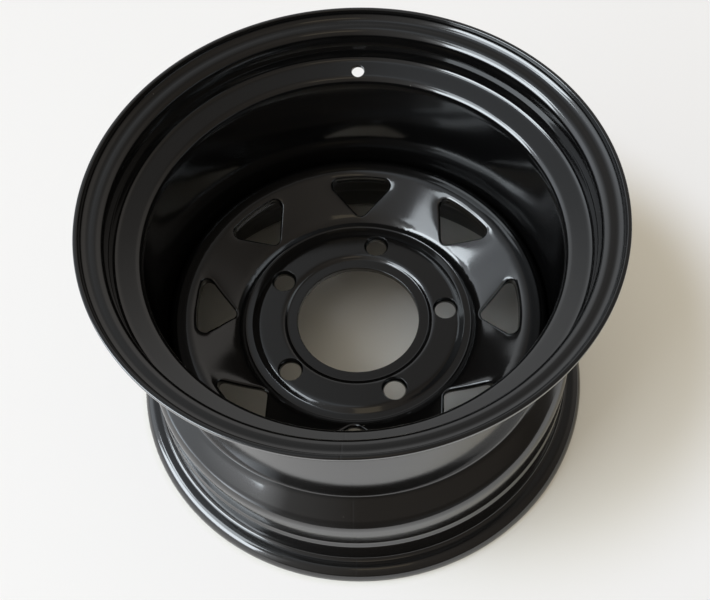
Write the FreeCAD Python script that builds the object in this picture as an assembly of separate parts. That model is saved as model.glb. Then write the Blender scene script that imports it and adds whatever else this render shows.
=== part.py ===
import FreeCAD, Part
import math
import os

# A wide off-road wheel of pressed steel: a rolled rim, a pressed disc with eight windows, and the welds between.
# Millimetres. The wheel lies on its inner lip: the floor is z = 0, the axle runs along +Z, the outer face is up.
# The valve hole is on +Y. Profiles are drawn as (radius, height) in the XZ plane and turned about Z.

# Rim sizes
rim_width = 254.0
bead_seat_diameter = 405.6
bead_seat_taper = 5.0
rim_thickness = 3.5
flange_height = 17.3
flange_width = 13.0
lip_curl_radius = 10.8
flange_root_radius = 4.5
lip_edge_radius = 1.0
well_depth = 23.8
hump_height = 1.2
hump_half_width = 5.0
hump_bend_radius = 5.0
outer_hump_offset = 18.5
outer_seat_width = 30.4
outer_ledge_rise = 16.5
outer_ledge_bend_radius = 5.0
well_mouth_bend_radius = 4.0
inner_hump_offset = 27.0
inner_slope_drop = 90.5
inner_slope_angle = 45.0
inner_slope_foot_radius = 6.0
inner_shoulder_bend_radius = 16.0

# Valve hole sizes
valve_hole_diameter = 11.5
valve_hole_angle = 90.0
valve_hole_offset = 6.4

# Disc sizes
disc_thickness = 6.0
hub_face_height = 93.2
bore_diameter = 114.0
bore_edge_radius = 0.8
inner_ring_width = 9.5
lug_face_lift = 3.0
lug_rise_width = 3.0
lug_face_width = 24.0
lug_fall_width = 6.0
outer_ring_width = 6.3
cone_rise_width = 4.2
cone_rise_lift = 6.4
cone_angle = 28.0
hub_bend_radius = 1.5
lug_face_bend_radius = 5.0
cone_foot_bend_radius = 20.0
shoulder_bend_radius = 11.5
skirt_tuck = 2.0

# Lug hole sizes
lug_count = 5
lug_circle_diameter = 165.1
lug_hole_diameter = 19.5
lug_seat_diameter = 23.0
lug_seat_cone_angle = 60.0
first_lug_angle = 79.0

# Window sizes
window_count = 8
window_tip_gap = 3.6
window_land = 28.0
window_outer_width = 57.0
window_corner_radius = 6.5
window_edge_radius = 2.0

# Weld sizes
weld_count = 8
weld_arc_angle = 26.0
weld_bead_radius = 4.0
weld_wall_share = 0.8

# Worked out from the sizes above
rim_height = rim_width + 2 * flange_width
bead_seat_radius = bead_seat_diameter / 2
lip_radius = bead_seat_radius + flange_height
inner_wall_height = flange_width
outer_wall_height = flange_width + rim_width
well_outer_radius = bead_seat_radius - well_depth
well_inner_radius = well_outer_radius - rim_thickness
valve_hole_radius = well_outer_radius + valve_hole_offset
longest_bend_share = 0.98


def point(radius, height):
    """A point of a profile."""
    return FreeCAD.Vector(radius, 0, height)


def slope(angle):
    """Rise of a line for each millimetre along, for its angle in degrees."""
    return math.tan(math.radians(angle))


def unit(vector):
    """The direction of a vector."""
    return FreeCAD.Vector(vector).normalize()


def left_of(direction):
    """The direction a quarter turn to the left of another in the XZ plane."""
    return FreeCAD.Vector(-direction.z, 0, direction.x)


def beside(points, distance):
    """Corners of the path that runs on the left of another at a distance."""
    runs = [unit(after - before) for before, after in zip(points, points[1:])]
    corners = [points[0] + left_of(runs[0]) * distance]
    for corner, before, after in zip(points[1:], runs, runs[1:]):
        bisector = unit(left_of(before) + left_of(after))
        corners.append(corner + bisector * (distance / bisector.dot(left_of(before))))
    corners.append(points[-1] + left_of(runs[-1]) * distance)
    return corners


def turns_left(before, corner, after):
    """Whether a path turns to its left at a corner."""
    return left_of(corner - before).dot(after - corner) > 0


def bend_reaches(points, radii):
    """How far each bend reaches along its runs, less where a run is too short for the bends at both its ends."""
    reaches = [0.0]
    for before, corner, after, radius in zip(points, points[1:], points[2:], radii):
        reaches.append(radius / math.tan((before - corner).getAngle(after - corner) / 2))
    reaches.append(0.0)
    shares = []
    for start, end, near, far in zip(points, points[1:], reaches, reaches[1:]):
        shares.append(min(1.0, longest_bend_share * (end - start).Length / (near + far)))
    return [reach * min(pair) for reach, pair in zip(reaches[1:-1], zip(shares, shares[1:]))]


def rounded(points, radii):
    """Edges of straight runs through the points, joined by tangent arcs."""
    edges = []
    start = points[0]
    for before, corner, after, reach in zip(points, points[1:], points[2:], bend_reaches(points, radii)):
        back = unit(before - corner)
        ahead = unit(after - corner)
        half_angle = back.getAngle(ahead) / 2
        radius = reach * math.tan(half_angle)
        middle = corner + unit(back + ahead) * (radius / math.sin(half_angle) - radius)
        edges.append(Part.LineSegment(start, corner + back * reach).toShape())
        edges.append(Part.Arc(corner + back * reach, middle, corner + ahead * reach).toShape())
        start = corner + ahead * reach
    edges.append(Part.LineSegment(start, points[-1]).toShape())
    return edges


def bent_sheet(points, inside_radii, thickness):
    """A sheet of even thickness on the left of a path, turned about Z: each bend has its inside radius."""
    near_radii = []
    far_radii = []
    for before, corner, after, inside in zip(points, points[1:], points[2:], inside_radii):
        if turns_left(before, corner, after):
            near_radii.append(inside + thickness)
            far_radii.append(inside)
        else:
            near_radii.append(inside)
            far_radii.append(inside + thickness)
    far_points = beside(points, thickness)
    edges = rounded(points, near_radii)
    edges.append(Part.LineSegment(points[-1], far_points[-1]).toShape())
    edges.extend(rounded(far_points, far_radii))
    edges.append(Part.LineSegment(far_points[0], points[0]).toShape())
    section = Part.Face(Part.Wire(Part.__sortEdges__(edges)))
    return section.revolve(FreeCAD.Vector(), FreeCAD.Vector(0, 0, 1), 360)


def round_edges(solid, radius, wanted):
    """Round the edges of a solid that a test picks."""
    return solid.makeFillet(radius, [edge for edge in solid.Edges if wanted(edge)])


def at_angle(shape, angle):
    """A shape turned about the axle to an angle from +X."""
    return shape.rotated(FreeCAD.Vector(), FreeCAD.Vector(0, 0, 1), angle)


def around(shape, count, first_angle):
    """Copies of a shape made on +X, evenly spaced about the axle."""
    return [at_angle(shape, first_angle + 360 * number / count) for number in range(count)]


# Rim: the tyre side of the sheet, from the outer lip down to the inner lip


def seat_radius(distance):
    """Radius of a bead seat at a distance from its flange."""
    return bead_seat_radius - distance * slope(bead_seat_taper)


def hump(wall_height, offset, away):
    """Foot, crest and foot of a safety hump, in order away from the flange."""
    distances = [offset - hump_half_width, offset, offset + hump_half_width]
    lifts = [0, hump_height, 0]
    return [point(seat_radius(d) + lift, wall_height + away * d) for d, lift in zip(distances, lifts)]


outer_ledge_end_radius = seat_radius(outer_seat_width)
outer_ledge_drop = (outer_ledge_end_radius - well_outer_radius) * slope(outer_ledge_rise)
outer_ledge_height = outer_wall_height - outer_seat_width
inner_shoulder_radius = seat_radius(inner_hump_offset + hump_half_width)
slope_foot_height = inner_wall_height + inner_slope_drop
slope_end_height = slope_foot_height - (inner_shoulder_radius - well_outer_radius) / slope(inner_slope_angle)
well_mouth = point(well_outer_radius, outer_ledge_height - outer_ledge_drop)
well_foot = point(well_outer_radius, slope_foot_height)
slope_end = point(inner_shoulder_radius, slope_end_height)
rim_path = [
    point(lip_radius, rim_height),
    point(lip_radius, outer_wall_height),
    point(bead_seat_radius, outer_wall_height),
    *hump(outer_wall_height, outer_hump_offset, -1),
    point(outer_ledge_end_radius, outer_ledge_height),
    well_mouth,
    well_foot,
    slope_end,
    *reversed(hump(inner_wall_height, inner_hump_offset, 1)),
    point(bead_seat_radius, inner_wall_height),
    point(lip_radius, inner_wall_height),
    point(lip_radius, 0),
]
flange_bends = [lip_curl_radius - rim_thickness, flange_root_radius]
hump_bends = [hump_bend_radius] * 3
well_bends = [
    outer_ledge_bend_radius,
    well_mouth_bend_radius,
    inner_slope_foot_radius,
    inner_shoulder_bend_radius,
]
rim_bends = flange_bends + hump_bends + well_bends + hump_bends + flange_bends[::-1]
# The path runs downwards, so the wheel's inside is on its right: it is reversed to have the sheet on its left
rim_sheet = bent_sheet(rim_path[::-1], rim_bends[::-1], rim_thickness)


def at_lip_end(edge):
    """Whether an edge is a circle on the very end of a lip."""
    box = edge.BoundBox
    flat = box.ZLength < 1e-6
    return flat and (abs(box.ZMin) < 1e-6 or abs(box.ZMin - rim_height) < 1e-6)


rim_hoop = round_edges(rim_sheet, lip_edge_radius, at_lip_end)
ledge_normal = FreeCAD.Vector(-math.sin(math.radians(outer_ledge_rise)), 0, math.cos(math.radians(outer_ledge_rise)))
ledge_at_valve = point(
    valve_hole_radius,
    outer_ledge_height - (outer_ledge_end_radius - valve_hole_radius) * slope(outer_ledge_rise),
)
valve_drill_reach = 4 * rim_thickness
valve_drill = Part.makeCylinder(
    valve_hole_diameter / 2,
    2 * valve_drill_reach,
    ledge_at_valve - ledge_normal * valve_drill_reach,
    ledge_normal,
)
rim = rim_hoop.cut(at_angle(valve_drill, valve_hole_angle))

# Disc: the front of the sheet, from the bore out to the skirt that is pressed into the well
ring_height = hub_face_height + disc_thickness
lug_face_height = ring_height + lug_face_lift
cone_foot_height = ring_height + cone_rise_lift
bore_radius = bore_diameter / 2
inner_ring_radius = bore_radius + inner_ring_width
lug_face_inner_radius = inner_ring_radius + lug_rise_width
lug_face_outer_radius = lug_face_inner_radius + lug_face_width
outer_ring_inner_radius = lug_face_outer_radius + lug_fall_width
outer_ring_outer_radius = outer_ring_inner_radius + outer_ring_width
cone_foot_radius = outer_ring_outer_radius + cone_rise_width
skirt_radius = well_inner_radius
window_inner_radius = cone_foot_radius + window_tip_gap
window_outer_radius = skirt_radius - window_land


def cone_height(radius):
    """Height of the cone's front at a radius."""
    return cone_foot_height + (radius - cone_foot_radius) * slope(cone_angle)


well_foot_inside = beside([well_mouth, well_foot, slope_end], -rim_thickness)[1]
skirt_end_height = well_foot_inside.z + skirt_tuck
disc_path = [
    point(bore_radius, ring_height),
    point(inner_ring_radius, ring_height),
    point(lug_face_inner_radius, lug_face_height),
    point(lug_face_outer_radius, lug_face_height),
    point(outer_ring_inner_radius, ring_height),
    point(outer_ring_outer_radius, ring_height),
    point(cone_foot_radius, cone_foot_height),
    point(skirt_radius, cone_height(skirt_radius)),
    point(skirt_radius, skirt_end_height),
]
disc_bends = [
    hub_bend_radius,
    hub_bend_radius,
    lug_face_bend_radius,
    hub_bend_radius,
    hub_bend_radius,
    cone_foot_bend_radius,
    shoulder_bend_radius,
]
disc_sheet = bent_sheet(disc_path[::-1], disc_bends[::-1], disc_thickness)

# Disc windows: three corner circles of one radius, joined by two straight sides and an arc about the axle
cone_out = FreeCAD.Vector(math.cos(math.radians(cone_angle)), 0, math.sin(math.radians(cone_angle)))
cone_normal = left_of(cone_out)
across = FreeCAD.Vector(0, 1, 0)
window_middle_radius = (window_inner_radius + window_outer_radius) / 2
window_middle = point(window_middle_radius, cone_height(window_middle_radius))
window_half_length = (window_outer_radius - window_middle_radius) / cone_out.x


def on_cone(sideways, outwards):
    """A point on the cone's front, measured from the middle of the window on +X."""
    return window_middle + across * sideways + cone_out * outwards


corner_side = window_outer_width / 2 - window_corner_radius
arc_centre_out = window_half_length - window_outer_radius
corner_out = arc_centre_out + math.sqrt((window_outer_radius - window_corner_radius) ** 2 - corner_side ** 2)
tip_out = window_corner_radius - window_half_length
side_length = math.hypot(corner_side, corner_out - tip_out)
side_shift = window_corner_radius * (corner_out - tip_out) / side_length
side_drop = window_corner_radius * corner_side / side_length
touch_share = window_corner_radius / (window_outer_radius - window_corner_radius)
touch_side = corner_side * (1 + touch_share)
touch_out = corner_out + (corner_out - arc_centre_out) * touch_share
bulge = window_corner_radius * math.sqrt(0.5)
bulge_side = corner_side + bulge
bulge_out = corner_out + bulge
window_outline = []
for hand in (1, -1):
    side_start = on_cone(hand * side_shift, tip_out - side_drop)
    side_end = on_cone(hand * (corner_side + side_shift), corner_out - side_drop)
    corner_middle = on_cone(hand * bulge_side, bulge_out)
    corner_end = on_cone(hand * touch_side, touch_out)
    window_outline.append(Part.LineSegment(side_start, side_end).toShape())
    window_outline.append(Part.Arc(side_end, corner_middle, corner_end).toShape())
tip_left = on_cone(-side_shift, tip_out - side_drop)
tip_right = on_cone(side_shift, tip_out - side_drop)
window_outline.append(Part.Arc(tip_left, on_cone(0, -window_half_length), tip_right).toShape())
outer_left = on_cone(-touch_side, touch_out)
outer_right = on_cone(touch_side, touch_out)
window_outline.append(Part.Arc(outer_left, on_cone(0, window_half_length), outer_right).toShape())
window_face = Part.Face(Part.Wire(Part.__sortEdges__(window_outline)))
punch_reach = 2 * disc_thickness
window_face.translate(cone_normal * punch_reach)
window_punch = window_face.extrude(cone_normal * (-2 * punch_reach))
windows = around(window_punch, window_count, valve_hole_angle)

# Disc holes: the bore is open from the profile, and each lug hole has a coned seat for its nut
lug_hole = Part.makeCylinder(
    lug_hole_diameter / 2,
    2 * punch_reach,
    point(lug_circle_diameter / 2, lug_face_height - punch_reach),
)
seat_depth = (lug_seat_diameter - lug_hole_diameter) / 2 / slope(lug_seat_cone_angle / 2)
lug_seat = Part.makeCone(
    lug_hole_diameter / 2,
    lug_seat_diameter / 2,
    seat_depth,
    point(lug_circle_diameter / 2, lug_face_height - seat_depth),
)
lug_holes = around(lug_hole.fuse(lug_seat), lug_count, first_lug_angle)


def at_bore_edge(edge):
    """Whether an edge is the front rim of the centre bore."""
    box = edge.BoundBox
    return box.ZLength < 1e-6 and abs(box.ZMax - ring_height) < 1e-6 and abs(box.XMax - bore_radius) < 1e-6


def at_window_edge(edge):
    """Whether an edge runs round a window on the cone's front."""
    middle = edge.valueAt((edge.FirstParameter + edge.LastParameter) / 2)
    radius = math.hypot(middle.x, middle.y)
    inside = window_inner_radius - 0.01 < radius < window_outer_radius + 0.01
    return inside and abs(middle.z - cone_height(radius)) < disc_thickness / 4


disc_bored = round_edges(disc_sheet, bore_edge_radius, at_bore_edge)
disc_pierced = disc_bored.cut(lug_holes + windows)
disc = round_edges(disc_pierced, window_edge_radius, at_window_edge)

# Welds: separate beads in the groove between the skirt's end and the rim, on the back of the wheel
weld_centre = point(skirt_radius + weld_wall_share * rim_thickness - weld_bead_radius, skirt_end_height)
weld_left = weld_centre - FreeCAD.Vector(weld_bead_radius, 0, 0)
weld_right = weld_centre + FreeCAD.Vector(weld_bead_radius, 0, 0)
weld_bottom = weld_centre - FreeCAD.Vector(0, 0, weld_bead_radius)
weld_edges = [
    Part.Arc(weld_left, weld_bottom, weld_right).toShape(),
    Part.LineSegment(weld_right, weld_left).toShape(),
]
weld_section = Part.Face(Part.Wire(weld_edges))
weld_run = weld_section.revolve(FreeCAD.Vector(), FreeCAD.Vector(0, 0, 1), weld_arc_angle)
weld_end = Part.makeSphere(weld_bead_radius, weld_centre, FreeCAD.Vector(0, 0, 1), -90, 0, 360)
weld_bead = weld_run.fuse([weld_end, at_angle(weld_end, weld_arc_angle)]).removeSplitter().cut(rim_hoop)
first_weld_angle = valve_hole_angle + 180 / weld_count - weld_arc_angle / 2
welds = Part.makeCompound(around(weld_bead, weld_count, first_weld_angle))

os.makedirs("parts", exist_ok=True)
for name, shape in {"rim": rim, "disc": disc, "weld_beads": welds}.items():
    shape.exportStep(f"parts/{name}.step")
    print(name, len(shape.Solids), "solids", round(shape.Volume / 1000, 2), "cm3", "valid", shape.isValid())
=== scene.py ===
# %% [markdown]
# # A pressed-steel wheel in black paint
# The wheel lies on its inner lip with its outer face up, as it would on a tyre fitter's white bench.
# Black gloss hides colour and shows only reflections, so the whole lesson is about smooth surfaces:
# a facet or a bump of a tenth of a millimetre bends a reflection that anyone can see.
# The CAD model gives the frame and the sizes. Each of its pieces is drawn again here as one fine surface.

# %% Load the CAD frame and keep its box
import math

import bpy
import numpy as np
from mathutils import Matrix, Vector


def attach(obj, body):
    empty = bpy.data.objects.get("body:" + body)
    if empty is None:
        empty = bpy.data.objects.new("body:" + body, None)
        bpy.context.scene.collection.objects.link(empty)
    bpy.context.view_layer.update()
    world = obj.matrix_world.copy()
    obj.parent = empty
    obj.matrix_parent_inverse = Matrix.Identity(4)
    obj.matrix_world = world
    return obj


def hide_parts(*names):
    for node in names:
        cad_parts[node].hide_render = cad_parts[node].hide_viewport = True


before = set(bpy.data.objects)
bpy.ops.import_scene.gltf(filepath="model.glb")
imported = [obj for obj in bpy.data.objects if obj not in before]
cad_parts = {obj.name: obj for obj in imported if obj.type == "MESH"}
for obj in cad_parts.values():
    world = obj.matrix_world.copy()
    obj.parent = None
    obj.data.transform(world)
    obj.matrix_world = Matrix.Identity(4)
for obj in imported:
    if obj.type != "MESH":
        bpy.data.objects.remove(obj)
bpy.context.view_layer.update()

# %% [markdown]
# ## One way to draw bent sheet metal
# A rolled rim and a pressed disc are the same kind of thing: a strip of even thickness, bent at corners, carried
# round the axle. So one description serves for both. A list of corners (radius, height) gives the front of the
# sheet, the back is the same path one thickness away, and every corner becomes an arc. The inside of a bend gets
# the tool's radius, and the outside gets that radius plus the thickness, as in real sheet.

# %% Tools for a bent sheet's section
ARC_POINTS = 33
STEP = 0.1
BLUR = 0.9
BLUR_STEPS = 30
ROW_TURN = 0.2
ROW_LENGTH = 14


def unit(vectors):
    """Each vector divided by its length."""
    return vectors / np.linalg.norm(vectors, axis=-1, keepdims=True)


def right_of(runs):
    """Each direction turned a quarter turn clockwise in the (radius, height) plane."""
    return np.stack([runs[:, 1], -runs[:, 0]], axis=1)


def one_side(corners, distance):
    """Corners of the path at a distance on the right of another: each moves along the bisector of its two runs."""
    sides = right_of(unit(np.diff(corners, axis=0)))
    bisectors = unit(sides[:-1] + sides[1:])
    lengths = distance / np.sum(bisectors * sides[:-1], axis=1)
    inner = corners[1:-1] + bisectors * lengths[:, None]
    return np.vstack([corners[0] + sides[0] * distance, inner, corners[-1] + sides[-1] * distance])


def sheet_section(front, inside_radii, thickness, end_radii):
    """Corners and bend radii round a sheet's whole section: the front path, then the back path the other way."""
    runs = np.diff(front, axis=0)
    turn = runs[:-1, 0] * runs[1:, 1] - runs[:-1, 1] * runs[1:, 0]
    front_radii = np.where(turn < 0, inside_radii + thickness, inside_radii)
    back_radii = np.where(turn < 0, inside_radii, inside_radii + thickness)
    corners = np.vstack([front, one_side(front, thickness)[::-1]])
    first_edge, last_edge, last_back, first_back = end_radii
    radii = np.concatenate([[first_edge], front_radii, [last_edge, last_back], back_radii[::-1], [first_back]])
    return corners, radii


class Section:
    """A closed section with rounded corners, known by the length s along it from the middle of one run."""

    def __init__(self, corners, radii, first):
        corners = np.roll(corners, -first, axis=0)
        radii = np.roll(radii, -first)
        seam = (corners[0] + corners[-1]) / 2
        loop = np.vstack([seam, corners, seam])
        before = unit(loop[:-2] - corners)
        after = unit(loop[2:] - corners)
        half = np.arccos(np.clip(np.sum(before * after, axis=1), -1, 1)) / 2
        reach = radii / np.tan(half)
        centres = corners + unit(before + after) * (radii / np.sin(half))[:, None]
        starts = corners + before * reach[:, None] - centres
        ends = corners + after * reach[:, None] - centres
        angle = np.arctan2(starts[:, 1], starts[:, 0])
        sweep = np.arctan2(ends[:, 1], ends[:, 0]) - angle
        sweep = (sweep + np.pi) % (2 * np.pi) - np.pi
        share = np.linspace(0, 1, ARC_POINTS)
        arcs = angle[:, None] + sweep[:, None] * share
        points = centres[:, None, :] + radii[:, None, None] * np.stack([np.cos(arcs), np.sin(arcs)], axis=2)
        points = np.vstack([seam, points.reshape(-1, 2), seam])
        lengths = np.linalg.norm(np.diff(points, axis=0), axis=1)
        self.s = np.concatenate([[0], np.cumsum(lengths)])
        self.points = points
        self.length = self.s[-1]
        self.fine = np.arange(0, self.length, STEP)
        fine = self.place(self.fine)
        heading = np.unwrap(np.arctan2(np.gradient(fine[:, 1]), np.gradient(fine[:, 0])))
        bend = np.abs(np.gradient(heading, STEP))
        window = np.exp(-(np.arange(-BLUR_STEPS, BLUR_STEPS + 1) * STEP / BLUR) ** 2)
        bend = np.convolve(bend, window / window.sum(), mode="same")
        self.crowd = np.cumsum(bend / ROW_TURN + 1 / ROW_LENGTH) * STEP

    def place(self, s):
        """(radius, height) at lengths along the section."""
        return np.stack([np.interp(s, self.s, self.points[:, 0]), np.interp(s, self.s, self.points[:, 1])], axis=-1)

    def at_radius(self, radius, low, high):
        """Lengths along the section between low and high where it reaches a radius."""
        inside = (self.fine > low) & (self.fine < high)
        s = self.fine[inside]
        r = self.place(s)[:, 0]
        order = np.argsort(r)
        return np.interp(radius, r[order], s[order])

    def rows(self, start, end, count):
        """Lengths for rows of a mesh, closer together in bends: even steps of a sum that grows with the bend."""
        low, high = np.interp([start, end], self.fine, self.crowd)
        return np.interp(np.linspace(low, high, count + 1), self.crowd, self.fine)

    def surface(self, s, theta):
        """Points in mm of the section carried round the axle: (r cos theta, r sin theta, z)."""
        radius, height = np.moveaxis(self.place(s), -1, 0)
        return np.stack([radius * np.cos(theta), radius * np.sin(theta), height + 0 * theta], axis=-1)


# %% [markdown]
# ## A hoop with tunnels through it
# The section turned about the axle is a lattice of rows and columns that closes on itself. A hole goes through the
# sheet, so it is a tunnel: a chain of loops from a rectangle of the front lattice, in to the hole's front edge,
# down its wall, and out again to a rectangle of the back lattice. Nothing is cut, so every face stays a clean quad.

# %% Tools for the hoop's mesh
COLUMNS = 400
THETA = np.arange(COLUMNS) * 2 * np.pi / COLUMNS


def rectangle(low, high, left, right):
    """Rows and columns round a block of the lattice, with the row `low` first."""
    step = 1 if high > low else -1
    across = np.arange(left, right)
    along = np.arange(low, high, step)
    rows = np.concatenate([np.full(across.size, low), along, np.full(across.size, high), along[::-1] + step])
    columns = np.concatenate([across, np.full(along.size, right), across[::-1] + 1, np.full(along.size, left)])
    return rows, columns


def quarter_position(low, high, left, right):
    """Place of each point round the block from 0 to 4: a whole number at each of its corners."""
    across = np.arange(right - left) / (right - left)
    along = np.arange(abs(high - low)) / abs(high - low)
    return np.concatenate([across, 1 + along, 2 + across, 3 + along])


def hoop(section, spans, tunnels):
    """Vertices and quads of a section carried round the axle, with tunnels in place of blocks of its lattice."""
    pieces = [section.rows(*span) for span in spans]
    firsts = np.concatenate([[0], np.cumsum([piece.size - 1 for piece in pieces])])
    s = np.concatenate([piece[:-1] for piece in pieces])
    count = s.size
    vertices = [section.surface(s[:, None], THETA[None, :]).reshape(-1, 3)]
    keep = np.ones((count, COLUMNS), dtype=bool)
    quads = []
    total = count * COLUMNS
    for front_span, back_span, left, right, loops in tunnels:
        low, high = firsts[front_span], firsts[front_span + 1]
        far, near = firsts[back_span], firsts[back_span + 1]
        columns = np.arange(left, right) % COLUMNS
        keep[low:high, columns] = False
        keep[far:near, columns] = False
        edge, edge_columns = rectangle(low, high, left, right)
        back, back_columns = rectangle(near, far, left, right)
        turn = edge_columns * 2 * np.pi / COLUMNS
        places = loops(s[edge], s[back % count], turn, quarter_position(low, high, left, right))
        vertices.append(places.reshape(-1, 3))
        new = total + np.arange(places.shape[0] * edge.size).reshape(-1, edge.size)
        total += new.size
        front_loop = edge * COLUMNS + edge_columns % COLUMNS
        back_loop = back % count * COLUMNS + back_columns % COLUMNS
        chain = np.vstack([front_loop, new, back_loop])
        following = np.roll(chain, -1, axis=1)
        quads.append(np.stack([chain[:-1], following[:-1], following[1:], chain[1:]], axis=2).reshape(-1, 4))
    index = np.arange(count * COLUMNS).reshape(count, COLUMNS)
    beside = np.roll(index, -1, axis=1)
    above = np.roll(index, -1, axis=0)
    corner = np.roll(above, -1, axis=1)
    quads.append(np.stack([index, beside, corner, above], axis=2)[keep])
    return np.vstack(vertices), np.vstack(quads)


def make_piece(name, vertices, quads, node):
    """A smooth mesh in metres with its faces turned outward, standing for a CAD node."""
    used, compact = np.unique(quads, return_inverse=True)
    vertices = vertices[used] / 1000
    quads = compact.reshape(quads.shape)
    a, b, c, d = (vertices[quads[:, k]] for k in range(4))
    volume = np.sum(np.cross(a, b) * c + np.cross(a, c) * d) / 6
    if volume < 0:
        quads = quads[:, ::-1]
    mesh = bpy.data.meshes.new(name)
    mesh.from_pydata(vertices.tolist(), [], quads.tolist())
    mesh.polygons.foreach_set("use_smooth", np.ones(len(quads), dtype=bool))
    piece = bpy.data.objects.new(name, mesh)
    bpy.context.scene.collection.objects.link(piece)
    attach(piece, "root")
    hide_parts(node)
    print(name, len(vertices), "vertices", 2 * len(quads), "triangles", round(abs(volume) * 1e6, 1), "cm3")
    return piece


def between(start, end, shares):
    """Loops that go straight from one loop to another, at the shares given: start + share * (end - start)."""
    return start[None] + shares.reshape(-1, *[1] * start.ndim) * (end - start)[None]


# %% [markdown]
# ## The rim
# A strip of steel is rolled into a hoop, butt-welded, and roll-formed between shaped rollers. From the outer lip
# down: the curled lip, the flange, the tapered bead seat with its safety hump, the ledge with the valve hole, the
# deep well that lets a tyre bead drop in, the long slope and the inner seat, hump, flange and lip.

# %% Rim section
SEAT_RADIUS = 202.8
SEAT_SLOPE = math.tan(math.radians(5))
RIM_THICKNESS = 3.5
LEDGE_RISE = math.radians(16.5)
OUTER_WALL = 267.0
INNER_WALL = 13.0
RIM_TOP = 280
HUMP_LIFT = 1.2
LIP_RADIUS = SEAT_RADIUS + 17.3
WELL_RADIUS = SEAT_RADIUS - 23.8


def seat(wall, away, distance, lift=0.0):
    """A corner on a bead seat at a distance from its flange."""
    return [SEAT_RADIUS - distance * SEAT_SLOPE + lift, wall + away * distance]


ledge_end = seat(OUTER_WALL, -1, 30.4)
slope_top = INNER_WALL + 90.5
shoulder = seat(INNER_WALL, 1, 32)
shoulder[1] = slope_top - (shoulder[0] - WELL_RADIUS)
rim_front = np.array([
    [LIP_RADIUS, RIM_TOP],
    [LIP_RADIUS, OUTER_WALL],
    [SEAT_RADIUS, OUTER_WALL],
    seat(OUTER_WALL, -1, 13.5),
    seat(OUTER_WALL, -1, 18.5, HUMP_LIFT),
    seat(OUTER_WALL, -1, 23.5),
    ledge_end,
    [WELL_RADIUS, ledge_end[1] - (ledge_end[0] - WELL_RADIUS) * math.tan(LEDGE_RISE)],
    [WELL_RADIUS, slope_top],
    shoulder,
    seat(INNER_WALL, 1, 32),
    seat(INNER_WALL, 1, 27, HUMP_LIFT),
    seat(INNER_WALL, 1, 22),
    [SEAT_RADIUS, INNER_WALL],
    [LIP_RADIUS, INNER_WALL],
    [LIP_RADIUS, 0],
])
rim_bends = np.array([7.3, 4.5, 5, 5, 5, 5, 4, 6, 16, 5, 5, 5, 4.5, 7.3])
rim_section = Section(*sheet_section(rim_front, rim_bends, RIM_THICKNESS, (1, 1, 1, 1)), 8)
print("rim section", round(rim_section.length, 1), "mm round")

# %% Rim surface with its valve hole
VALVE_RADIUS = 5.75
VALVE_COLUMNS = (92, 108)
LEDGE_ROWS = 18
LEDGE_REACH, LEDGE_BACK_REACH = (430, 464), (566, 598)
FILL = 1 - (1 - np.linspace(0, 1, 9)[1:-1]) ** 1.6
WALL_SHARES = np.array([0.35, 0.7, 0.95, 1.0])


def inwards(tilt, theta):
    """Direction into a sheet that leans towards the axle by a tilt: (sin tilt, -cos tilt) in (radius, height)."""
    lean = math.sin(tilt)
    return np.stack([lean * np.cos(theta), lean * np.sin(theta), -math.cos(tilt) + 0 * theta], axis=-1)


def tunnel(section, ring, back_ring, edge, tilt, sink):
    """Loops of one hole: from the block to the hole's edge, down its rounded edge and wall, and out on the back.

    ring and back_ring give (s, theta) at an offset outside the hole's outline; edge lists (offset, depth) pairs;
    sink gives how far the metal is drawn down at a distance from the outline and a radius from the axle."""

    def lowered(s, theta, depth):
        """Points on the section, moved into the sheet by a depth."""
        return section.surface(s, theta) + inwards(tilt, theta) * depth[..., None]

    def loops(front_s, back_s, turn, quarter):
        """All the loops, from the front block's edge through the hole to the back block's edge."""
        start = np.stack(ring(quarter, edge[0][0]), axis=-1)
        fill = between(np.stack([front_s, turn], axis=-1), start, FILL)
        gap = (start - fill) * np.stack([np.ones(turn.size), section.place(start[:, 0])[:, 0]], axis=-1)
        away = np.linalg.norm(gap, axis=-1) + edge[0][0]
        drop = sink(away, section.place(fill[..., 0])[..., 0]) * FILL[:, None]
        front = lowered(fill[..., 0], fill[..., 1], drop)
        rounds = []
        for offset, depth in edge:
            s, theta = ring(quarter, offset)
            rounds.append(lowered(s, theta, depth + sink(abs(offset), section.place(s)[:, 0])))
        s, theta = back_ring(quarter, 0.0)
        dip = sink(0.0, section.place(s)[:, 0])
        wall = between(rounds[-1], lowered(s, theta, dip), WALL_SHARES)
        back_fill = between(np.stack([s, theta], axis=-1), np.stack([back_s, turn], axis=-1), 1 - FILL[::-2])
        back = lowered(back_fill[..., 0], back_fill[..., 1], dip * FILL[::-2, None] ** 3)
        return np.concatenate([front, np.stack(rounds), wall, back])

    return loops


def round_edge(radius, steps):
    """(offset, depth) pairs of a quarter round from a surface down into a hole."""
    turns = np.linspace(0, np.pi / 2, steps)
    return [(radius * (1 - math.sin(t)), radius * (1 - math.cos(t))) for t in turns]


def valve_ring(low, high, radius, hand):
    """A circle on the ledge about the valve's centre, as lengths along the section and angles."""
    centre = rim_section.at_radius(radius, low, high)

    def ring(quarter, offset):
        phi = np.pi / 2 * (quarter - 1.5)
        size = VALVE_RADIUS + offset
        return centre + hand * size * np.sin(phi), np.pi / 2 + size * np.cos(phi) / radius

    return ring


def no_sink(distance, radius):
    """No drawing down."""
    return 0.0 * distance * radius


def span(section, start, end):
    """A span with as many rows as its bends and length ask for."""
    low, high = np.interp([start, end], section.fine, section.crowd)
    return start, end, int(math.ceil(high - low))


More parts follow.
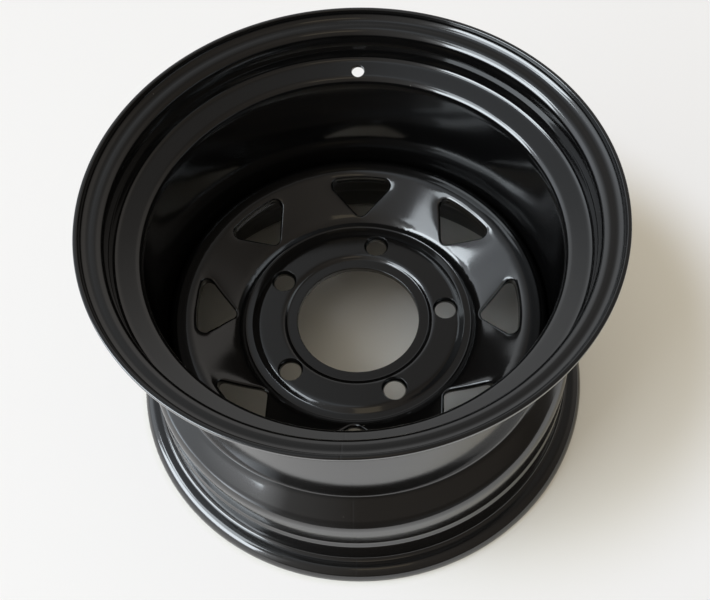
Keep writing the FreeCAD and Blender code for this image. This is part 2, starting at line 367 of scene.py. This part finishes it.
ledge = rim_section.at_radius(np.array([176.3, 193.4]), *LEDGE_REACH)
ledge_back = rim_section.at_radius(np.array([194.4, 179.2]), *LEDGE_BACK_REACH)
rim_spans = [
    span(rim_section, 0, ledge[0]),
    (*ledge, LEDGE_ROWS),
    span(rim_section, ledge[1], ledge_back[0]),
    (*ledge_back, LEDGE_ROWS),
    span(rim_section, ledge_back[1], rim_section.length),
]
valve = tunnel(rim_section, valve_ring(*LEDGE_REACH, 184.4, 1), valve_ring(*LEDGE_BACK_REACH, 185.4, -1),
               round_edge(0.5, 4), LEDGE_RISE, no_sink)
rim = make_piece("rim_surface", *hoop(rim_section, rim_spans, [(1, 3, *VALVE_COLUMNS, valve)]), "rim")

# %% [markdown]
# ## The disc
# A press forms the disc from one blank: a flat hub ring round the bore, a raised face for the nuts, a groove that
# stiffens it, a steep step, a shallow cone and a shoulder that turns down into the skirt. Eight windows are then
# punched through the cone. A punch drags the metal down before it shears, so each window has a soft rolled edge
# and a shallow dip round it. That dip is what bends the reflections beside the windows.

# %% Disc section
DISC_THICKNESS = 6.0
CONE = math.radians(28)
SKIRT_RADIUS = WELL_RADIUS - RIM_THICKNESS
BORE_RADIUS = 57
HUB_HEIGHT = 99.2
NUT_FACE_HEIGHT = 102.2
CONE_FOOT_RADIUS, CONE_FOOT_HEIGHT = 110, 105.6
skirt_end = one_side(rim_front, RIM_THICKNESS)[8, 1] + 2
disc_front = np.array([
    [BORE_RADIUS, HUB_HEIGHT],
    [66.5, HUB_HEIGHT],
    [69.5, NUT_FACE_HEIGHT],
    [93.5, NUT_FACE_HEIGHT],
    [99.5, HUB_HEIGHT],
    [105.8, HUB_HEIGHT],
    [CONE_FOOT_RADIUS, CONE_FOOT_HEIGHT],
    [SKIRT_RADIUS, CONE_FOOT_HEIGHT + (SKIRT_RADIUS - CONE_FOOT_RADIUS) * math.tan(CONE)],
    [SKIRT_RADIUS, skirt_end],
])
disc_bends = np.array([1.5, 1.5, 5, 1.5, 1.5, 20, 11.5])
disc_section = Section(*sheet_section(disc_front, disc_bends, DISC_THICKNESS, (0.8, 0.4, 0.4, 0.4)), 0)
FRONT = (4.0, 121.0)
BACK = (disc_section.length - 116.0, disc_section.length - 4.0)
print("disc section", round(disc_section.length, 1), "mm round, skirt ends at", round(skirt_end, 2))

# %% Outlines of the lug holes and the windows
LUG_COUNT, FIRST_LUG = 5, 79
LUG_CIRCLE = 82.55
LUG_RADIUS = 9.75
LUG_SEAT = 11.5
WINDOW_COUNT, FIRST_WINDOW = 8, 90
WINDOW_TIP = 113.6
WINDOW_TOP = 147.5
WINDOW_HALF_WIDTH = 28.5
CORNER = 6.5
print(LUG_COUNT, "lug holes on radius", LUG_CIRCLE, "and", WINDOW_COUNT, "windows from", WINDOW_TIP, "to", WINDOW_TOP)


def lug_ring(where, angle, size):
    """A circle in plan about a lug hole's centre, as lengths along one side of the section and angles."""

    def ring(quarter, offset):
        phi = np.pi / 2 * (quarter - 1.5)
        out = LUG_CIRCLE + (size + offset) * np.sin(phi)
        across = (size + offset) * np.cos(phi)
        return disc_section.at_radius(np.hypot(out, across), *where), angle - np.arctan2(-across, out)

    return ring


def window_half(count):
    """Right half of a window's outline in its own plane, tip first: points, outward normals and lengths along.

    A tip circle, a straight side, a corner circle and an arc about the axle, each tangent to the next."""
    half_length = (WINDOW_TOP - WINDOW_TIP) / 2 / math.cos(CONE)
    arc_centre = half_length - WINDOW_TOP
    side = WINDOW_HALF_WIDTH - CORNER
    corner = np.array([side, arc_centre + math.sqrt((WINDOW_TOP - CORNER) ** 2 - side ** 2)])
    tip = np.array([0.0, CORNER - half_length])
    along = unit(corner - tip)
    lean = math.atan2(-along[0], along[1])
    touch = math.atan2(corner[1] - arc_centre, corner[0])
    tip_turn = np.linspace(-np.pi / 2, lean, count)
    corner_turn = np.linspace(lean, touch, count)
    top_turn = np.linspace(touch, np.pi / 2, count)
    turns = np.concatenate([tip_turn, corner_turn, top_turn])
    normals = np.stack([np.cos(turns), np.sin(turns)], axis=1)
    centres = np.repeat([tip, corner, [0.0, arc_centre]], count, axis=0)
    points = centres + normals * np.repeat([CORNER, CORNER, WINDOW_TOP], count)[:, None]
    lengths = np.concatenate([[0], np.cumsum(np.linalg.norm(np.diff(points, axis=0), axis=1))])
    return points, normals, lengths


half_points, half_normals, half_lengths = window_half(60)
WINDOW_ANCHORS = half_lengths[-1] * np.array([-0.30, 0.30, 0.66, 1.34, 1.70])


def window_ring(where, angle):
    """A window's outline on the cone, as lengths along one side of the section and angles."""

    def ring(quarter, offset):
        place = np.interp(quarter, np.arange(5), WINDOW_ANCHORS)
        whole = half_lengths[-1]
        hand = np.where((place < 0) | (place > whole), -1.0, 1.0)
        place = np.where(place > whole, 2 * whole - place, np.abs(place))
        shape = half_points + half_normals * offset
        across = hand * np.interp(place, half_lengths, shape[:, 0])
        out = (WINDOW_TIP + WINDOW_TOP) / 2 + np.interp(place, half_lengths, shape[:, 1]) * math.cos(CONE)
        out = out - (np.hypot(out, across) - out) * math.sin(CONE) ** 2
        return disc_section.at_radius(np.hypot(out, across), *where), angle + np.arctan2(across, out)

    return ring


# %% Disc surface with its holes
def drawn_down(distance, radius):
    """Depth of the dip that the punch leaves: 0.8 mm at the edge, fading to a third every 5 mm.

    The steep step holds the metal near the tip, so the dip grows smoothly from nothing at radius 112 to all at 130."""
    share = np.clip((radius - 112) / 18, 0, 1)
    return 0.8 * np.exp(-distance / 5.0) * share ** 2 * (3 - 2 * share)


BLOCK_ROWS = 24
LUG_HALF_BLOCK = 13
WINDOW_HALF_BLOCK = 23
WINDOW_EDGE = 2.0
lug_edge = [(0.35, 0.0), (0.12, 0.06), (0.0, 0.2), (-1.2, 2.28), (-1.75, 3.23)]
lug_block = disc_section.at_radius(np.array([67.4, 98.6]), *FRONT)
lug_back = disc_section.at_radius(np.array([98.6, 67.4]), *BACK)
window_block = disc_section.at_radius(np.array([107.6, 157.0]), *FRONT)
window_back = disc_section.at_radius(np.array([157.0, 108.6]), *BACK)
disc_spans = [
    span(disc_section, 0, lug_block[0]),
    (*lug_block, BLOCK_ROWS),
    span(disc_section, lug_block[1], window_block[0]),
    (*window_block, BLOCK_ROWS),
    span(disc_section, window_block[1], window_back[0]),
    (*window_back, BLOCK_ROWS),
    span(disc_section, window_back[1], lug_back[0]),
    (*lug_back, BLOCK_ROWS),
    span(disc_section, lug_back[1], disc_section.length),
]
tunnels = []
for angle in FIRST_LUG + 360 / LUG_COUNT * np.arange(LUG_COUNT):
    column = round(angle * COLUMNS / 360)
    theta = math.radians(angle)
    seat_ring, hole_ring = lug_ring(FRONT, theta, LUG_SEAT), lug_ring(BACK, theta, LUG_RADIUS)
    lug = tunnel(disc_section, seat_ring, hole_ring, lug_edge, 0.0, no_sink)
    tunnels.append((1, 7, column - LUG_HALF_BLOCK, column + LUG_HALF_BLOCK, lug))
window_edge = round_edge(WINDOW_EDGE, 7)
for angle in FIRST_WINDOW + 360 / WINDOW_COUNT * np.arange(WINDOW_COUNT):
    column = round(angle * COLUMNS / 360)
    theta = math.radians(angle)
    front_ring, back_ring = window_ring(FRONT, theta), window_ring(BACK, theta)
    window = tunnel(disc_section, front_ring, back_ring, window_edge, CONE, drawn_down)
    tunnels.append((3, 5, column - WINDOW_HALF_BLOCK, column + WINDOW_HALF_BLOCK, window))
disc = make_piece("disc_surface", *hoop(disc_section, disc_spans, tunnels), "disc")

# %% [markdown]
# ## The welds
# On the back, short runs of weld metal join the skirt's end to the rim. A bead is laid down as overlapping pools,
# so its surface is a half round with a ripple every couple of millimetres.

# %% Weld beads
BEAD_RADIUS = 4.0
BEAD_CENTRE = SKIRT_RADIUS + 0.8 * RIM_THICKNESS - BEAD_RADIUS
BEAD_DEGREES = 26
BEAD_ARC = math.radians(BEAD_DEGREES)
BEAD_COUNT = 8
FIRST_BEAD = 90 + 22.5 - BEAD_DEGREES / 2
RIPPLE_LENGTH = 2.2
LENGTHWISE, ROUND = 140, 14
cap = BEAD_RADIUS / BEAD_CENTRE
travel = -cap + np.linspace(0, 1, LENGTHWISE) * (BEAD_ARC + 2 * cap)
past = np.maximum(np.maximum(-travel, travel - BEAD_ARC), 0) / cap
girth = np.sqrt(np.maximum(1 - past ** 2, 0.0004))
ripple = 1 - 0.035 * (1 + np.cos(travel * BEAD_CENTRE * 2 * np.pi / RIPPLE_LENGTH))
size = BEAD_RADIUS * girth * ripple
under = np.linspace(np.pi, 2 * np.pi, ROUND)
bead_r = BEAD_CENTRE + size[:, None] * np.cos(under)
bead_z = skirt_end + size[:, None] * np.sin(under)
rim_wall = rim_section.place(np.linspace(300, 330, 200))
bead_r = np.minimum(bead_r, np.interp(bead_z, rim_wall[:, 1], rim_wall[:, 0]))
bead_vertices = []
bead_quads = []
for number in range(BEAD_COUNT):
    theta = math.radians(FIRST_BEAD + 360 / BEAD_COUNT * number) + travel[:, None]
    ring = np.stack([bead_r * np.cos(theta), bead_r * np.sin(theta), bead_z], axis=-1)
    index = number * LENGTHWISE * ROUND + np.arange(LENGTHWISE * ROUND).reshape(LENGTHWISE, ROUND)
    closed = np.roll(index, -1, axis=1)
    sides = np.stack([index[:-1], closed[:-1], closed[1:], index[1:]], axis=2)
    bead_vertices.append(ring.reshape(-1, 3))
    bead_quads.append(sides.reshape(-1, 4))
    for end in (index[0, ::-1], index[-1]):
        half = ROUND // 2
        outer = end[:half]
        facing = end[:half - 1:-1]
        bead_quads.append(np.stack([outer[:-1], outer[1:], facing[1:], facing[:-1]], axis=1))
welds = make_piece("weld_surface", np.vstack(bead_vertices), np.vstack(bead_quads), "weld_beads")

# %% [markdown]
# ## Small tools for shader nodes
# Paint, floor and room are all worked out from a place or a direction. Blender does that with Math, Map Range and Mix
# nodes. They could be added by hand in the shader editor, but a few helpers keep each step below to its meaning.

# %% Tools for shader nodes
def feed(tree, socket, value):
    """Link an output to a socket, or write a plain value on it."""
    if isinstance(value, bpy.types.NodeSocket):
        tree.links.new(value, socket)
    else:
        socket.default_value = value


def combine(tree, operation, first, second=0.0):
    """The result of a Math node on two values."""
    node = tree.nodes.new("ShaderNodeMath")
    node.operation = operation
    feed(tree, node.inputs[0], first)
    feed(tree, node.inputs[1], second)
    return node.outputs[0]


def smooth_step(tree, value, low, high):
    """0 below low, 1 above high, and 3 t squared less 2 t cubed between, where t climbs evenly from 0 to 1."""
    node = tree.nodes.new("ShaderNodeMapRange")
    node.interpolation_type = "SMOOTHSTEP"
    node.inputs["From Min"].default_value = low
    node.inputs["From Max"].default_value = high
    tree.links.new(value, node.inputs["Value"])
    return node.outputs["Result"]


def blend(tree, share, first, second):
    """A mix of two colours, by the share of the second."""
    node = tree.nodes.new("ShaderNodeMix")
    node.data_type = "RGBA"
    tree.links.new(share, node.inputs[0])
    feed(tree, node.inputs[6], first)
    feed(tree, node.inputs[7], second)
    return node.outputs[2]


def looked_at(tree):
    """1 for rays from the camera, from a mirror and through glass, and 0 for rays that only carry light."""
    rays = tree.nodes.new("ShaderNodeLightPath")
    shown = combine(tree, "MAXIMUM", rays.outputs["Is Camera Ray"], rays.outputs["Is Glossy Ray"])
    return combine(tree, "MAXIMUM", shown, rays.outputs["Is Transmission Ray"])


# %% [markdown]
# ## Black paint
# The wheel is sprayed in gloss black. Rolled steel under it is never quite true, so a faint swell some forty
# millimetres long and a tenth of a millimetre high sways the reflections. The paint dries with an orange peel of about
# two millimetres, far flatter still. Both are bumps, because neither changes the outline. A mesh fine enough to carry
# the peel would be far too heavy.

# %% Paint material
PAINT_BLACK = (0.0025, 0.0025, 0.0027, 1)
PAINT_ROUGHNESS = 0.1
SWELL = {"scale": 26.0, "detail": 1.0, "height": 0.00012}
PEEL = {"scale": 420.0, "detail": 2.0, "height": 0.000005}
paint = bpy.data.materials.new("black_paint_finish")
paint.use_nodes = True
coat = paint.node_tree
shader = coat.nodes["Principled BSDF"]
shader.inputs["Roughness"].default_value = PAINT_ROUGHNESS
shader.inputs["IOR"].default_value = 1.55
shader.inputs["Specular IOR Level"].default_value = 1.0
on_wheel = coat.nodes.new("ShaderNodeTexCoord").outputs["Object"]


def bump(height, distance, below=None):
    """A Bump node that raises the surface by a height from 0 to 1 times a distance in metres, over another bump."""
    node = coat.nodes.new("ShaderNodeBump")
    node.inputs["Strength"].default_value = 1.0
    node.inputs["Distance"].default_value = distance
    coat.links.new(height, node.inputs["Height"])
    if below:
        coat.links.new(below, node.inputs["Normal"])
    return node.outputs["Normal"]


def relief(scale, detail, height, below=None):
    """A bump of soft noise: hills about 1 / scale metres long and `height` metres high."""
    noise = coat.nodes.new("ShaderNodeTexNoise")
    noise.inputs["Scale"].default_value = scale
    noise.inputs["Detail"].default_value = detail
    coat.links.new(on_wheel, noise.inputs["Vector"])
    return bump(noise.outputs["Fac"], height, below)


peel = relief(**PEEL, below=relief(**SWELL))
for piece in (rim, disc, welds):
    piece.data.materials.append(paint)
print("paint on", [piece.name for piece in (rim, disc, welds)], "roughness", PAINT_ROUGHNESS)

# %% [markdown]
# ## Butt-weld line and dust
# The strip that makes the rim is welded end to end and ground flush, which leaves a faint groove up the barrel. It is
# a bump along the plane x = 0 on the near side only, kept off the disc by its distance from the axle. Dust is a
# Voronoi pattern: only the middle of each cell counts, and only some cells are chosen, more of them beside the groove.

# %% Butt-weld line and dust
GROOVE_HALF_WIDTH = 0.0011
GROOVE_DEPTH = 0.00008
BARREL_SIDE = -0.1752
DUST_SCALE = 130.0
DUST_SPOT = 0.05
DUST_SHARE = 0.12
DUST_BY_GROOVE = 0.4
DUST_REACH = 0.006
DUST_COLOUR = (0.16, 0.155, 0.14, 1)
axes = coat.nodes.new("ShaderNodeSeparateXYZ")
coat.links.new(on_wheel, axes.inputs[0])
from_groove = combine(coat, "ABSOLUTE", axes.outputs["X"])
elsewhere = combine(coat, "GREATER_THAN", axes.outputs["Y"], BARREL_SIDE)
level_steel = combine(coat, "MAXIMUM", smooth_step(coat, from_groove, 0.0, GROOVE_HALF_WIDTH), elsewhere)
coat.links.new(bump(level_steel, GROOVE_DEPTH, peel), shader.inputs["Normal"])

specks = coat.nodes.new("ShaderNodeTexVoronoi")
specks.inputs["Scale"].default_value = DUST_SCALE
coat.links.new(on_wheel, specks.inputs["Vector"])
by_groove = combine(coat, "SUBTRACT", combine(coat, "LESS_THAN", from_groove, DUST_REACH), elsewhere)
extra = combine(coat, "MULTIPLY", combine(coat, "MAXIMUM", by_groove, 0.0), DUST_BY_GROOVE)
chosen = combine(coat, "LESS_THAN", specks.outputs["Color"], combine(coat, "ADD", extra, DUST_SHARE))
dust = combine(coat, "MULTIPLY", combine(coat, "LESS_THAN", specks.outputs["Distance"], DUST_SPOT), chosen)
coat.links.new(blend(coat, dust, PAINT_BLACK, DUST_COLOUR), shader.inputs["Base Color"])
print("groove", 2000 * GROOVE_HALF_WIDTH, "mm wide, dust in", DUST_SHARE, "of the cells")

# %% [markdown]
# ## Floor
# The floor is a pale bench top, and it ends on the left and just in front of the wheel, because gloss paint shows
# where a floor stops. Its paleness comes from a little emission that only camera, mirror and glass rays see, so the
# wheel gets no extra light from it. The emission fades out under the wheel, in a drawn patch on its right and in a
# thin ring against its lip. This is painted shadow, laid over the real shadow that the lamps cast there.

# %% Floor
BENCH_LEFT, BENCH_NEAR, BENCH_FAR = -0.56, -0.32, 6
BENCH_COLOUR = (0.76, 0.76, 0.76, 1)
PALE = (0.90, 0.90, 0.91, 1)
PALE_SHARE = 0.75
floor_mesh = bpy.data.meshes.new("floor")
bench_corners = [(BENCH_LEFT, BENCH_NEAR, 0), (BENCH_FAR, BENCH_NEAR, 0), (BENCH_FAR, BENCH_FAR, 0),
                 (BENCH_LEFT, BENCH_FAR, 0)]
floor_mesh.from_pydata(bench_corners, [], [(0, 1, 2, 3)])
floor = bpy.data.objects.new("floor", floor_mesh)
bpy.context.scene.collection.objects.link(floor)
white = bpy.data.materials.new("white_floor")
white.use_nodes = True
top = white.node_tree
bench = top.nodes["Principled BSDF"]
bench.inputs["Base Color"].default_value = BENCH_COLOUR
bench.inputs["Roughness"].default_value = 0.7
on_floor = top.nodes.new("ShaderNodeTexCoord").outputs["Object"]


def away_from(centre, near, far):
    """A smooth step from 0 to 1 between two distances from a centre on the floor."""
    distance = top.nodes.new("ShaderNodeVectorMath")
    distance.operation = "DISTANCE"
    distance.inputs[1].default_value = centre
    top.links.new(on_floor, distance.inputs[0])
    return smooth_step(top, distance.outputs["Value"], near, far)


# Painted shadow: the pale emission is left out under the wheel, in a drawn patch to its right and in a thin ring at
# its lip, so the floor there stays darker on top of the lamps' real shadow.
outside_painted_shadow = away_from((0.12, 0.05, 0), 0.21, 0.32)
outside_painted_lip_shade = away_from((0, 0, 0), 0.2205, 0.227)
outside_painted_shade = combine(top, "MULTIPLY", outside_painted_shadow, outside_painted_lip_shade)
paleness = combine(top, "MULTIPLY", combine(top, "MULTIPLY", outside_painted_shade, looked_at(top)), PALE_SHARE)
pale = top.nodes.new("ShaderNodeEmission")
pale.inputs["Color"].default_value = PALE
pale.inputs["Strength"].default_value = 1.0
both = top.nodes.new("ShaderNodeMixShader")
top.links.new(paleness, both.inputs[0])
top.links.new(bench.outputs[0], both.inputs[1])
top.links.new(pale.outputs[0], both.inputs[2])
top.links.new(both.outputs[0], top.nodes["Material Output"].inputs["Surface"])
floor_mesh.materials.append(white)
print("bench from", bench_corners[0], "to", bench_corners[2])

# %% [markdown]
# ## Lamps
# Daylight comes from a tall window on the left, made of three upright panes, because each shows as its own streak in
# the paint. A small warm card hangs over the camera. A soft steep lamp fills the inside of the wheel and gives the
# floor its shadow, and mirrors don't show it.


# %% Lamps
def card(name, place, facing, size, radiance, colour):
    """A flat light of even radiance. A square metre of radiance 1 needs pi watts."""
    light = bpy.data.lights.new(name, "AREA")
    light.shape = "RECTANGLE"
    light.size, light.size_y = size
    light.color = colour
    light.energy = radiance * math.pi * size[0] * size[1]
    lamp = bpy.data.objects.new(name, light)
    lamp.location = place
    lamp.rotation_euler = Vector(facing).to_track_quat("-Z", "Y").to_euler()
    bpy.context.scene.collection.objects.link(lamp)
    print(name, "radiance", round(radiance, 2), "size", size)
    return lamp


LEVEL = 0.48
DAYLIGHT = (0.86, 0.94, 1.0)
WARM = (1.0, 0.84, 0.55)
SOFT_WHITE = (1.0, 0.97, 0.90)
card("window_light", (-1.93, -0.86, 1.315), (0.92, 0.39, 0), (2.05, 1.27), 15.5 * LEVEL, DAYLIGHT)
card("window_top", (-1.986, -0.684, 3.35), (0.946, 0.326, 0), (1.45, 2.8), 7.0 * LEVEL, DAYLIGHT)
card("window_side", (-2.08, 0.26, 2.57), (0.992, -0.124, 0), (0.66, 1.05), 13.0 * LEVEL, DAYLIGHT)
card("warm_card", (0.12, -0.80, 1.75), (-0.07, 0.45, -0.89), (0.45, 0.4), 0.6 * LEVEL, WARM)
steep = card("steep_light", (-0.62, -0.885, 2.03), (0.62, 0.885, -1.95), (0.8, 0.8), 4 * LEVEL, SOFT_WHITE)
steep.visible_glossy = False

# %% [markdown]
# ## Room
# Gloss paint shows its room, so the room is kept plain and soft. Four bands lie over each other:
# light from below the window's sill, a dimmer lower wall, the wall, and a darker ceiling. Each is a colour ramp of a
# few stops over one turn of azimuth, from bright and cool on the left to dim and warm on the right. Rays that only
# carry light get one even fill instead, so the reflections can be shaped without relighting the floor.

# %% Room
WALL = ((-180, 0.3), (-150, 0.7), (-140, 2.6), (-70, 2.5), (-50, 1.6), (20, 0.8), (100, 0.25), (180, 0.3))
LOWER_WALL = tuple((azimuth, 0.65 * brightness) for azimuth, brightness in WALL)
UNDER_WINDOW = ((-180, 0.15), (-145, 0.6), (-125, 8.0), (-97, 8.0), (-80, 1.2), (180, 0.15))
CEILING = ((-180, 0.4), (-75, 1.0), (0, 0.35), (70, 0.2), (180, 0.4))
WARM_AZIMUTHS, WARMTH = (-180, -110, 0, 150, 180), (0.12, -0.12, 0.02, 0.22, 0.12)
SOFT_FILL = (0.71, 0.64, 0.51, 1)
world = bpy.data.worlds.new("room")
bpy.context.scene.world = world
world.use_nodes = True
sky = world.node_tree
towards = sky.nodes.new("ShaderNodeSeparateXYZ")
sky.links.new(sky.nodes.new("ShaderNodeTexCoord").outputs["Generated"], towards.inputs[0])
azimuth_angle = combine(sky, "ARCTAN2", towards.outputs["X"], towards.outputs["Y"])
round_room = sky.nodes.new("ShaderNodeMapRange")
round_room.inputs["From Min"].default_value = -math.pi
round_room.inputs["From Max"].default_value = math.pi
sky.links.new(azimuth_angle, round_room.inputs["Value"])


def band(stops):
    """One band of the room: a ramp over one turn of azimuth, from the side behind the camera round by the left."""
    ramp = sky.nodes.new("ShaderNodeValToRGB")
    for azimuth, brightness in stops[1:-1]:
        ramp.color_ramp.elements.new((azimuth + 180) / 360)
    for stop, (azimuth, brightness) in zip(ramp.color_ramp.elements, stops):
        warmth = np.interp(azimuth, WARM_AZIMUTHS, WARMTH)
        stop.color = (LEVEL * brightness * (1 + warmth), LEVEL * brightness, LEVEL * brightness * (1 - warmth), 1)
    sky.links.new(round_room.outputs["Result"], ramp.inputs["Fac"])
    return ramp.outputs["Color"]


def climb(start, end):
    """A smooth step from 0 to 1 between two elevations in degrees."""
    return smooth_step(sky, towards.outputs["Z"], math.sin(math.radians(start)), math.sin(math.radians(end)))


room = band(UNDER_WINDOW)
for stops, start, end in ((LOWER_WALL, -14, -3), (WALL, 5, 13), (CEILING, 34, 60)):
    room = blend(sky, climb(start, end), room, band(stops))
    print("band from", start, "to", end, "degrees up, with", len(stops), "stops")
sky.links.new(blend(sky, looked_at(sky), SOFT_FILL, room), sky.nodes["Background"].inputs["Color"])

# %% [markdown]
# ## Camera
# The view of the photograph: nearly a metre up and half a metre in front, looking down at 58 degrees, with a slight
# roll. The three directions are worked out as vectors, because a roll is easy to get wrong with Euler angles.

# %% Camera
AZIMUTH, ELEVATION, ROLL = math.radians(5.19), math.radians(57.94), math.radians(-4.26)
CAMERA_PLACE = (0.04367, -0.49909, 0.9317)
FOCAL_PIXELS, FRAME_PIXELS, SENSOR_MM = 1032, 710, 36
flat = math.cos(ELEVATION)
forward = np.array([-math.sin(AZIMUTH) * flat, math.cos(AZIMUTH) * flat, -math.sin(ELEVATION)])
across = np.array([math.cos(AZIMUTH), math.sin(AZIMUTH), 0])
raised = np.cross(across, forward)
camera_data = bpy.data.cameras.new("camera")
camera_data.sensor_width = SENSOR_MM
camera_data.lens = FOCAL_PIXELS * SENSOR_MM / FRAME_PIXELS
camera = bpy.data.objects.new("camera", camera_data)
pose = np.eye(4)
pose[:3, 0] = math.cos(ROLL) * across + math.sin(ROLL) * raised
pose[:3, 1] = -math.sin(ROLL) * across + math.cos(ROLL) * raised
pose[:3, 2] = -forward
pose[:3, 3] = CAMERA_PLACE
camera.matrix_world = pose.T.tolist()
bpy.context.scene.collection.objects.link(camera)
bpy.context.scene.camera = camera
bpy.context.scene.view_settings.view_transform = "Standard"
print("camera at", CAMERA_PLACE, "lens", round(camera_data.lens, 2), "mm")
